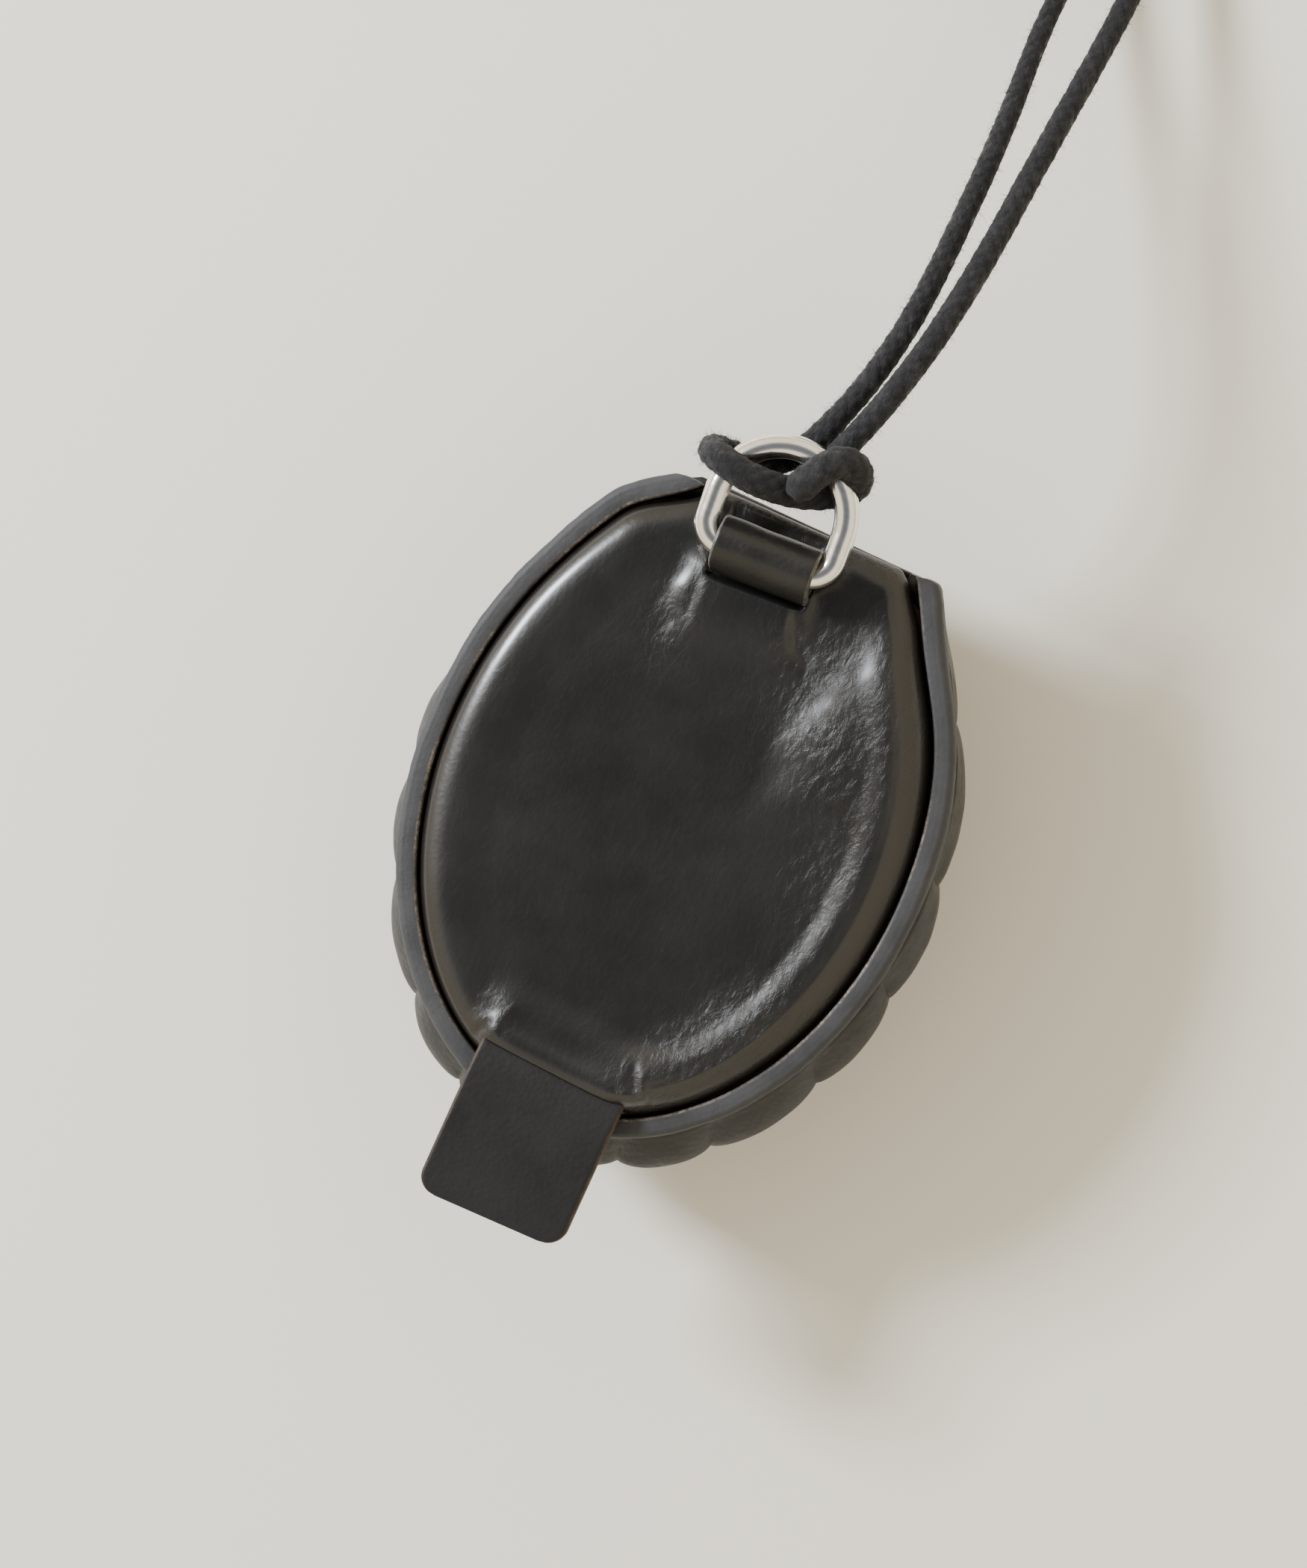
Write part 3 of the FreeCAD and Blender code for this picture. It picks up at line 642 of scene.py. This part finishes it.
def make_panel():
    """The puffed back: a wall, a shoulder and a pillow, drawn as rows that move in from the outline."""
    cols, half = 900, MOUTH_CORNER - 2.4
    loop = panel_loop(cols, half)
    centre = np.array([0.0, 2.0])
    step = np.roll(loop, -1, 0) - np.roll(loop, 1, 0)
    inward = unit(np.stack([step[:, 1], -step[:, 0]], axis=1))
    inward[(inward * (centre - loop)).sum(1) < 0] *= -1
    # every row moves in along the rays to the middle, so that no rows cross near the corners
    ray = unit(centre - loop)
    facing = settled(np.clip((ray * inward).sum(1), 0.6, 1), 40)
    inward = ray / facing[:, None]
    near_top = smoothstep(MOUTH_TOP - 3.2, MOUTH_TOP - 0.9, loop[:, 1])
    is_top = settled(near_top * (np.abs(loop[:, 0]) < half + 0.8), 20)
    soft_top = settled(is_top, 900)
    is_right = settled(smoothstep(2, 20, loop[:, 0]) * (1 - is_top), 600)
    is_low = smoothstep(-16, -28, loop[:, 1])
    upper = smoothstep(4, 26, loop[:, 1])
    lower = smoothstep(-8, -22, loop[:, 1])
    ridge = 4.2 + 0.6 * is_right * (1 - 0.4 * is_low)
    fade = settled(1 - smoothstep(30, 39, loop[:, 1]), 200)
    # three steps down from the ridge: one all along it, a broad one high on the right, one low on the right
    steps = ((0.25 + 0.40 * is_right * fade * (1 - 0.7 * upper), 0.0, 5.0 - 2.0 * is_right),
             (1.45 * is_right * upper * fade, 4.8, 17.0), (0.55 * is_right * lower, 1.0, 6.5))
    crest = sum(height for height, near, far in steps)
    shoulder = 26.9 - 0.4 * is_right

    rows, sides = [], []
    # the wall under the edge: it tucks in under the nose along the top edge
    for inset_side, z_side, inset_top, z_top in ((0.35, LID_BOTTOM, 3.6, LID_BOTTOM), (0.12, 23.2, 3.6, 23.6),
                                                 (0.0, 24.2, 3.5, 24.9), (0.0, 25.2, 1.5, 25.06),
                                                 (0.0, 26.2, 0.45, 25.55)):
        inset = inset_side + (inset_top - inset_side) * is_top
        z = z_side + (z_top - z_side) * is_top
        rows.append(np.column_stack([loop + inward * inset[:, None], z]))
        sides.append(np.ones(cols))
    # the shoulder, from the edge up to the ridge
    for t in np.linspace(0, 1, 40)[:-1] ** 1.5:
        inset = ridge * t
        steep = np.clip(1 - (1 - t) ** 2.9, 0, 1) ** 0.68
        slow = np.clip(1 - (1 - t) ** 1.9, 0, 1) ** 0.85
        lift = steep * (1 - is_right) + slow * is_right
        fold = 0.22 * is_right * (0.4 + 0.6 * lower) * math.exp(-((t - 0.62) / 0.10) ** 2)
        low = shoulder + (HINGE_Z - 0.4 - shoulder) * is_top
        top = PANEL_TOP - PANEL_SAG * soft_top + crest * (1 - soft_top)
        rows.append(np.column_stack([loop + inward * inset[:, None], low + (top - low) * lift + fold]))
        sides.append(np.clip(0.9 - 2.2 * t, 0, 1) * np.ones(cols))
    # the pillow, from the ridge to the middle
    base = loop + inward * ridge[:, None]
    for t in np.linspace(0, 0.992, 150):
        xy = base + (centre - base) * t
        from_ridge = np.linalg.norm(xy - base, axis=1)
        from_ridge += 0.5 * ripple(*xy.T, 0, 7, 33) * smoothstep(0, 4, from_ridge)
        rise = sum(height * (1 - smoothstep(0, 1, (from_ridge - near) / (far - near)))
                   for height, near, far in steps)
        sag = PANEL_SAG * soft_top * np.exp(-from_ridge / 4.0)
        rows.append(np.column_stack([xy, PANEL_TOP - sag + rise * (1 - soft_top)]))
        sides.append(np.zeros(cols))
    made = np.array(rows)
    x, y = made[..., 0], made[..., 1]
    made[..., 2] += pillow_detail(x, y) * smoothstep(6, 30, np.arange(len(made)))[:, None]
    crease = bumps(x, y, CREASED) + 0.8 * smoothstep(36.6, 38.2, y) + 0.10
    faces = grid_faces(len(made), cols, close_cols=True)
    points, faces = close_middle(made.reshape(-1, 3), faces, (len(made) - 1) * cols, cols, False)
    faces.append(list(range(cols))[::-1])
    piece = mesh("puffed_back", points, faces, GLAZED, "lid", ("back_panel",), "glazed_leather")
    paint(piece, "crease", np.append(np.clip(crease, 0, 1).ravel(), 0.06))
    # side marks where the warm reflection is painted: all of the wall, fading out up the shoulder
    paint(piece, "side", np.append(np.concatenate(sides), 0.0))
    return piece


def make_lid_lining():
    """The lining board under the back."""
    centre, inset, low = np.array([0.0, WIDEST_Y]), 2.65, LID_BOTTOM - 0.20
    points, _ = mouth(500)
    loop = points - inset * unit(points - centre)
    loop = loop[loop[:, 1] < 33.6]
    out = unit(loop - centre)
    rows = []
    for shrink, z in ((0.35, 23.6), (0.0, 23.3), (0.0, 22.7), (0.25, low), (1.4, low)):
        rows.append(np.column_stack([loop - shrink * out, np.full(len(loop), z)]))
    for t in np.linspace(0.12, 0.97, 24):
        xy = centre + (loop - centre) * (1 - t)
        z = low + 0.06 * (1 + ripple(*xy.T, 0, 8, 41))
        rows.append(np.column_stack([xy, z]))
    cols = len(loop)
    faces = grid_faces(len(rows), cols, close_cols=True, flip=True)
    points, faces = close_middle(np.vstack(rows), faces, (len(rows) - 1) * cols, cols, True)
    faces.append(list(range(cols)))
    return mesh("lid_lining", points, faces, LINING, "lid", ("back_lining",), "lining_suede")


# ---- strips of leather -----------------------------------
def strip(name, line, width_of, thick, centre_x, turn, material, body, replaces, slot, wave=0.05):
    """A strip of leather along a line of (y, z), with rounded edges; width_of gives its half-width."""
    across = 48
    line = np.asarray(line, float)
    step = unit(np.gradient(line, axis=0))
    normal = np.stack([-step[:, 1], step[:, 0]], axis=1)
    corner = min(0.45, thick * 0.42)
    # the section: share of the half-width, shift outwards, height, and whether it is on an edge
    right = [(1.0, d, h, True) for d, h in arc(-corner, thick / 2 - corner, corner, 90, 0, 7)
             + arc(-corner, corner - thick / 2, corner, 0, -90, 7)]
    bottom = [(s, 0.0, -thick / 2, False) for s in np.linspace(1, -1, across)[1:-1]]
    left = [(-s, -d, h, e) for s, d, h, e in reversed(right)]
    top = [(s, 0.0, thick / 2, False) for s in np.linspace(-1, 1, across)[1:-1]]
    half = np.array([width_of(i / (len(line) - 1)) for i in range(len(line))])
    rows, edge = [], []
    for share, shift, height, at_edge in right + bottom + left + top:
        x = share * (half - (0.0 if at_edge else corner)) + shift
        h = height + wave * ripple(x, *line.T, 5, 51) * (height > 0)
        rows.append(np.column_stack([x, line + normal * h[:, None]]))
        edge.append(np.full(len(line), float(at_edge and abs(height) < thick / 2 - 0.02)))
    made, middle = np.array(rows), line[:, 0].mean()
    made[..., :2] = turned(made[..., :2] - (0, middle), turn) + (centre_x, middle)
    faces = bar_faces(len(made), len(line), flip=True)
    piece = mesh(name, made, faces, material, body, replaces, slot)
    paint(piece, "edge", np.concatenate(edge))
    return piece


def smooth_line(points, count):
    """A smooth line through a few points."""
    p = resample(np.array(points, float), 400)
    for _ in range(700):
        p[1:-1] = (p[:-2] + 2 * p[1:-1] + p[2:]) / 4
    return resample(p, count)


def rounded_end(half, corner, length):
    """Half-width along a strip whose far end has round corners."""
    def width(t):
        left = (1 - t) * length
        if left >= corner:
            return half
        return half - corner + math.sqrt(max(0.0, corner ** 2 - (corner - left) ** 2))
    return width


def make_tab():
    """The tab, whose far end leans a little."""
    line = smooth_line(((-28.6, 27.6), (-29.6, 28.3), (-30.6, 28.9), (-34.0, 29.1), (-40.0, 28.9),
                        (-48.5, 28.4)), 170)
    piece = strip("pull_tab_leather", line, rounded_end(9.1, 2.3, 20.0), 1.8, 0.0, 0.0, TAB, "tab",
                  ("pull_tab",), "tab_leather", wave=0.06)
    places = np.zeros(len(piece.data.vertices) * 3)
    piece.data.vertices.foreach_get("co", places)
    places = places.reshape(-1, 3)
    y = places[:, 1] / MM
    lean = np.clip((-30.0 - y) / 18.0, 0, 1)
    places[:, 0] += 0.35 * MM
    places[:, 1] = (y + (places[:, 0] / MM) * 0.035 * lean) * MM
    piece.data.vertices.foreach_set("co", places.ravel())
    piece.data.update()
    return piece


def make_strap():
    """The loop that holds the ring: out of its slit, over the bar and back under itself."""
    line = smooth_line(((31.7, 27.5), (30.9, 28.3), (30.8, 29.6), (31.2, 31.5), (32.0, 33.4), (33.4, 34.5),
                        (35.0, 34.3), (36.2, 33.2), (36.6, 32.0), (36.2, 30.9), (34.8, 30.3)), 170)
    return strip("ring_strap_leather", line, rounded_end(6.0, 0.8, 13.0), 1.25, RING_X + 1.3, 3.6,
                 STRAP, "lid", ("ring_strap",), "strap_leather")


def make_hinge():
    """Leather along the inside of the top edge, hollowed under the rolled edge of the back."""
    profile = [(36.65, RIM_LOW), (36.62, 24.6), (36.66, 25.2)]
    profile += arc(HINGE_Y, HINGE_Z, HINGE_ROUND + 0.12, 220, 320, 16)
    profile += [(38.95, 25.5), (39.03, 25.2), (39.05, 24.6), (39.05, RIM_LOW)]
    count = 120
    xs = np.linspace(2.9 - MOUTH_CORNER, MOUTH_CORNER - 1.4, count)
    made = np.array([np.column_stack([xs, np.full(count, y), np.full(count, z)]) for y, z in profile])
    made[..., 1] += 0.03 * ripple(made[..., 0], made[..., 1], made[..., 2], 3, 61)
    faces = bar_faces(len(made), count)
    piece = mesh("hinge_leather", made, faces, EDGE, "shell", ("hinge_strip",), "edge_leather")
    paint(piece, "raw", np.zeros(len(made) * count))
    paint(piece, "under", np.full(len(made) * count, 0.7))
    return piece


# ---- tubes -----------------------------------------------
def frames(line, closed=False):
    """Two directions across the line at each point, turning as little as they can."""
    step = unit(np.roll(line, -1, 0) - np.roll(line, 1, 0) if closed else np.gradient(line, axis=0))
    side = np.cross(step[0], (0, 0, 1.0))
    sides = []
    for t in step:
        side = unit(side - t * (side @ t))
        sides.append(side)
    sides = np.array(sides)
    return sides, np.cross(step, sides)


def tube_points(line, radius, around, closed=False):
    """Points round the line; radius is a number, or one per point and direction."""
    a, b = frames(line, closed)
    turn = round_angles(around)
    r = np.broadcast_to(radius, (len(line), around))[..., None]
    return line[:, None] + r * (a[:, None] * np.cos(turn)[:, None] + b[:, None] * np.sin(turn)[:, None])


def make_ring():
    """The D-ring: a straight bar, two round corners and a bow."""
    reach, corner, bow = RING_REACH, 2.6, RING_TOP - RING_REACH
    path = [(x, BAR_Y) for x in np.linspace(0, reach - corner, 20)]
    path += arc(reach - corner, BAR_Y + corner, corner, -90, 0, 20)
    right = np.array(path + arc(0, bow, reach, 0, 90, 60))
    outline = resample(np.vstack([right, (right * (-1, 1))[::-1]]), 420, closed=True)
    rise = (outline[:, 1] - BAR_Y) * math.tan(RING_RISE)
    outline = turned(outline - (0, BAR_Y), RING_TURN) + (RING_X + 1.05, BAR_Y + 0.1)
    line = np.column_stack([outline, BAR_Z + rise])
    made = tube_points(line, RING_WIRE, 40, closed=True)
    faces = grid_faces(len(line), 40, close_rows=True, close_cols=True)
    return mesh("ring_wire", made, faces, METAL, "ring", ("d_ring",), "ring_metal")


# ---- cord ------------------------------------------------
SPLIT = (-0.6, 43.8, 30.9)    # inside the hitch, where the left strand's wraps meet the right strand
HITCH = (SPLIT, (-1.3, 43.1, 33.4), (-1.3, 43.1, 35.3), (-0.5, 44.6, 36.2), (0.7, 46.6, 36.1),
         (2.1, 47.8, 35.2), (3.6, 47.4, 33.4), (4.1, 46.1, 31.2), (3.4, 44.7, 29.6), (1.8, 43.6, 29.9),
         (-0.1, 42.6, 31.0), (-2.3, 41.9, 32.7), (-4.9, 41.5, 34.4), (-7.7, 41.5, 35.4), (-9.9, 41.9, 35.6),
         (-11.8, 42.3, 34.5), (-12.6, 42.6, 32.2), (-11.9, 42.7, 30.2), (-9.9, 42.8, 29.3),
         (-6.9, 43.6, 29.4), (-4.2, 45.4, 29.2))
LEFT_ROUTE = ((-3.0, 47.2, 28.6), (-1.1, 52.5, 28.4), (0.5, 58.5, 27.6), (1.5, 66.5, 25.6), (1.4, 77.0, 21.6),
              (0.8, 90.0, 15.8), (-0.8, 102.5, 9.6), (-0.7, 113.5, 4.2), (1.2, 123.0, 1.6), (3.1, 131.0, 1.4))
RIGHT_ROUTE = ((-0.7, 45.2, 29.7), (0.2, 47.0, 30.2), (2.2, 52.5, 30.5), (3.8, 58.5, 29.8), (5.2, 66.5, 27.4),
               (6.0, 77.0, 23.4), (6.3, 90.0, 17.4), (6.9, 102.5, 11.6), (7.0, 113.5, 7.0), (5.2, 123.0, 4.6),
               (3.1, 131.0, 4.2))
KNOT = (COIL_X, COIL_Y + 7.5, 3.6)
BRAID_STRANDS, BRAID_PITCH, BRAID_RELIEF = 6, 1.9, 0.15
CORD_STEP, CORD_AROUND = 0.30, 40     # the mesh's step along the cord, and its points round it
FIBRE_R, FIBRE_STEPS, FIBRE_SIDES = 0.022, 5, 3


def coil_turns(z):
    """The rest of a strand, wound inwards in one flat layer at this height."""
    points = []
    steps = int(COIL_TURNS * 16)
    for k in range(1, steps + 1):
        a = 2 * math.pi * COIL_TURNS * k / steps
        r = COIL_START_X - COIL_X - 2 * CORD_R * COIL_TURNS * k / steps
        points.append((COIL_X + r * math.cos(a), COIL_Y + r * math.sin(a), z))
    return points


def spline_line(name, points):
    """The smooth line of a NURBS spline with these control points, in millimetres."""
    curve = bpy.data.curves.new(name, "CURVE")
    curve.dimensions = "3D"
    spline = curve.splines.new("NURBS")
    spline.points.add(len(points) - 1)
    for point, place in zip(spline.points, points):
        point.co = (*place, 1)
    spline.order_u = 3
    spline.use_endpoint_u = True
    spline.resolution_u = 12
    holder = bpy.data.objects.new(name, curve)
    data = bpy.data.meshes.new_from_object(holder)
    line = np.array([v.co for v in data.vertices], float)
    bpy.data.objects.remove(holder)
    bpy.data.curves.remove(curve)
    bpy.data.meshes.remove(data)
    return line


def braid(turn, along):
    """Relief of a braid: 1 on top of its strands and 0 between them."""
    u = BRAID_STRANDS * turn / (2 * math.pi) + along / BRAID_PITCH
    v = BRAID_STRANDS * turn / (2 * math.pi) - along / BRAID_PITCH
    over = (np.floor(u) + np.floor(v)) % 2 < 1
    fu, fv = u - np.floor(u), v - np.floor(v)
    across = np.where(over, fu, fv)
    length = np.where(over, fv, fu)
    hump = np.sqrt(np.clip(1 - (2 * across - 1) ** 2, 0, 1))
    return hump * (0.55 + 0.45 * np.sin(math.pi * length))


def paint_braid_shade(piece, relief):
    """Paints shade into the furrows between the braid's strands, darkest where the relief is lowest."""
    paint(piece, "furrow_shade", (1 - np.clip(relief * 1.6, 0, 1)).ravel())


def braided(name, line, radii):
    """A braided cord round a line, with the path and the length of its centre line in metres."""
    length = np.linalg.norm(np.diff(line, axis=0), axis=1).sum()
    count = int(length / CORD_STEP)
    path = resample(line, count)
    along = np.linspace(0, length, count)
    t, s = np.meshgrid(round_angles(CORD_AROUND), along)
    relief = braid(t, s)
    radius = np.interp(along, *radii)[:, None] * (1 - BRAID_RELIEF + BRAID_RELIEF * relief)
    radius *= 1 + 0.025 * ripple(t * 1.2, s, 0, 6, 71)
    made = tube_points(path, radius, CORD_AROUND)
    faces = grid_faces(count, CORD_AROUND, close_cols=True, flip=True)
    faces.append(list(range(CORD_AROUND)))
    faces.append(list(range((count - 1) * CORD_AROUND, count * CORD_AROUND))[::-1])
    piece = mesh(name, made, faces, COTTON, "ring", slot="cord_cotton")
    paint_braid_shade(piece, relief)
    return piece, path * MM, length * MM


def fibres(name, line, radii, start, end, count, seed):
    """Loose fibres that stand off a cord between two places along it."""
    r = np.random.default_rng(seed)
    a, b = frames(line)
    along = np.concatenate([[0], np.cumsum(np.linalg.norm(np.diff(line, axis=0), axis=1))])
    at = np.searchsorted(along, r.uniform(start, end, count)).clip(1, len(line) - 2)
    turn = r.uniform(0, 2 * math.pi, count)
    out = a[at] * np.cos(turn)[:, None] + b[at] * np.sin(turn)[:, None]
    root = line[at] + out * (np.interp(along[at], *radii) - 0.08)[:, None]
    way = out * r.uniform(0.3, 1.0, count)[:, None] + r.normal(0, 0.55, (count, 3))
    way *= (r.uniform(0.35, 0.95, count) / np.linalg.norm(way, axis=1))[:, None]
    curl = r.normal(0, 0.28, (count, 3))
    side = unit(np.cross(way, (0.3, 0.5, 0.8)))
    other = np.cross(unit(way), side)
    points = np.zeros((count, FIBRE_STEPS, FIBRE_SIDES, 3))
    for k, t in enumerate(np.linspace(0, 1, FIBRE_STEPS)):
        middle = root + way * t + curl * t ** 2
        for c in range(FIBRE_SIDES):
            angle = 2 * math.pi * c / FIBRE_SIDES
            out = side * math.cos(angle) + other * math.sin(angle)
            points[:, k, c] = middle + out * FIBRE_R * (1 - 0.7 * t)
    each = FIBRE_STEPS * FIBRE_SIDES
    one = grid_faces(FIBRE_STEPS, FIBRE_SIDES, close_cols=True)
    one += [(0, 2, 1), (each - 3, each - 2, each - 1)]
    faces = [tuple(v + each * i for v in face) for i in range(count) for face in one]
    piece = mesh(name, points, faces, COTTON, "ring", slot="cord_cotton")
    # the loose fibres get no painted furrow shade
    paint(piece, "furrow_shade", np.zeros(count * each))
    return piece


def make_knot():
    """A tight three-lobed knot that stands for the one in the two ends; it lies inside the coil."""
    around = 36
    t = round_angles(160)
    reach = 2.0 + 0.95 * np.cos(3 * t)
    line = np.column_stack([reach * np.cos(2 * t), reach * np.sin(2 * t), 1.25 * np.sin(3 * t)]) + KNOT
    line[:, 2] = np.maximum(line[:, 2], CORD_R + 0.05)
    step = np.linalg.norm(np.roll(line, -1, 0) - line, axis=1)
    along = np.concatenate([[0], np.cumsum(step)[:-1]])
    relief = braid(*np.meshgrid(round_angles(around), along))
    made = tube_points(line, CORD_R * (0.86 + 0.14 * relief), around, closed=True)
    faces = grid_faces(len(line), around, close_rows=True, close_cols=True, flip=True)
    piece = mesh("end_knot", made, faces, COTTON, "ring", ("cord_knot",), "cord_cotton")
    paint_braid_shade(piece, relief)
    return piece


def make_tie():
    """A leather strip round the coil's turns."""
    wide, thick, corner, count = 4.0, 0.7, 2.0, 160
    left, right = COIL_X - 10.9 - 11.2, COIL_X - 10.9
    low, high = 0.35, 4 * CORD_R + 0.35
    loop = []
    for x, z, start in ((right - corner, high - corner, 0), (left + corner, high - corner, 90),
                        (left + corner, low + corner, 180), (right - corner, low + corner, 270)):
        loop += arc(x, z, corner, start, start + 90, 12)
    loop = resample(np.array(loop), count, closed=True)
    step = np.roll(loop, -1, 0) - np.roll(loop, 1, 0)
    normal = unit(np.stack([step[:, 1], -step[:, 0]], axis=1))
    rows = []
    for y, h in ((-1, 0.0), (-0.97, 0.6), (-0.85, 1.0), (0.85, 1.0), (0.97, 0.6), (1, 0.0), (0.97, -0.3),
                 (-0.97, -0.3)):
        place = loop + normal * (h * thick / 2)
        rows.append(np.column_stack([place[:, 0], np.full(count, COIL_Y + y * wide / 2), place[:, 1]]))
    made = np.array(rows)
    made[..., 2] = np.maximum(made[..., 2], 0.0)
    faces = grid_faces(len(made), count, close_rows=True, close_cols=True)
    piece = mesh("coil_tie_strip", made, faces, TAB, "ring", ("coil_tie",), "tab_leather")
    paint(piece, "edge", np.zeros(len(rows) * count))
    return piece


def make_cord():
    """Both strands, the hitch at their start, and what is on them."""
    knot = make_knot()
    tie = make_tie()
    left_line = spline_line("left_route", [*HITCH, *LEFT_ROUTE, *coil_turns(CORD_R)])
    right_line = spline_line("right_route", [SPLIT, *RIGHT_ROUTE, *coil_turns(3 * CORD_R)])
    # places along each strand, and its radius there; it is thickest in the hitch
    left_radii = ((0, 4, 44, 56, 85, 105, 125, 900), (1.6, 1.88, 1.80, 1.45, 1.36, 1.24, 1.18, 1.3))
    right_radii = ((0, 8, 30, 65, 900), (1.5, 1.5, 1.45, 1.36, 1.36))
    left, left_path, left_length = braided("cord_left_strand", left_line, left_radii)
    right, right_path, right_length = braided("cord_right_strand", right_line, right_radii)
    loose_left = fibres("loose_fibres_left", left_line, left_radii, 2, 110, 3000, 81)
    loose_right = fibres("loose_fibres_right", right_line, right_radii, 2, 75, 1300, 82)
    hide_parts("cord_left", "cord_hitch", "cord_coil")
    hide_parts("cord_right")


# ---- stage -----------------------------------------------
def make_table():
    m = Nodes("table_top")
    m.colour(m.ramp(m.noise(6, 3), ((0.3, (0.872, 0.848, 0.768)), (0.7, (0.886, 0.863, 0.787)))))
    m.set(Roughness=0.9, Specular_IOR_Level=0.2)
    half = 2000
    corners = ((-half, -half, 0), (half, -half, 0), (half, half, 0), (-half, half, 0))
    mesh("table", corners, [(0, 1, 2, 3)], m.material, None, smooth=False)


def make_sky():
    """A warm light from all round the horizon that fades to a dim grey overhead."""
    world = bpy.data.worlds.new("studio")
    bpy.context.scene.world = world
    world.use_nodes = True
    nodes, links = world.node_tree.nodes, world.node_tree.links
    ramp = nodes.new("ShaderNodeValToRGB")
    sky = ((0.0, (0.86, 0.76, 0.56)), (0.45, (1.40, 1.20, 0.86)), (0.81, (1.22, 1.10, 0.90)),
           (0.91, (0.32, 0.32, 0.325)), (1.0, (0.17, 0.175, 0.185)))
    fill_ramp(ramp.color_ramp, sky)
    toward = nodes.new("ShaderNodeVectorMath")
    toward.operation = "DOT_PRODUCT"
    toward.inputs[1].default_value = (0.0, 0.0, 1.0)
    links.new(nodes.new("ShaderNodeTexCoord").outputs["Generated"], toward.inputs[0])
    links.new(toward.outputs["Value"], ramp.inputs["Fac"])
    links.new(ramp.outputs["Color"], nodes["Background"].inputs["Color"])
    nodes["Background"].inputs["Strength"].default_value = 1.0


def make_window():
    """The one lamp: a cool window on the left, high up, in metres and watts."""
    place, aim = Vector((-0.97, 0.16, 0.69)), Vector((0, 0, 0.02))
    light = bpy.data.lights.new("window", "AREA")
    light.shape = "RECTANGLE"
    light.size, light.size_y = 0.26, 0.30
    light.energy = 26.0
    light.color = (0.90, 0.94, 1.0)
    holder = placed("window", light)
    holder.location = place
    holder.rotation_euler = (aim - place).to_track_quat("-Z", "Y").to_euler()


def make_camera():
    """Over the pouch, a little to its right and its ring end; it frames a height of tall millimetres."""
    turn, distance, tall = math.radians(24.8), 650.0, 179.5
    right_lean, ring_lean = math.radians(6.0), math.radians(5.0)
    target = Vector((-3.2, 4.85, RIM_TOP))
    back = Vector((math.tan(right_lean), math.tan(ring_lean), 1.0)).normalized()
    up = Vector((-math.sin(turn), math.cos(turn), 0.0))
    right = up.cross(back).normalized()
    up = back.cross(right)
    data = bpy.data.cameras.new("camera")
    data.sensor_fit = "VERTICAL"
    data.sensor_height = 24.0
    data.sensor_width = 24.0
    data.lens = data.sensor_height * distance / tall
    camera = placed("camera", data)
    camera.rotation_mode = "QUATERNION"
    camera.rotation_quaternion = Matrix((right, up, back)).transposed().to_quaternion()
    camera.location = (target + back * distance) * MM
    bpy.context.scene.camera = camera


make_shell()
make_lining()
make_rim()
make_hinge()
make_panel()
make_lid_lining()
make_strap()
make_tab()
make_ring()
make_cord()
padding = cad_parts["back_padding"].data
padding.materials.clear()
padding.materials.append(FELT)
make_table()
make_sky()
make_window()
make_camera()
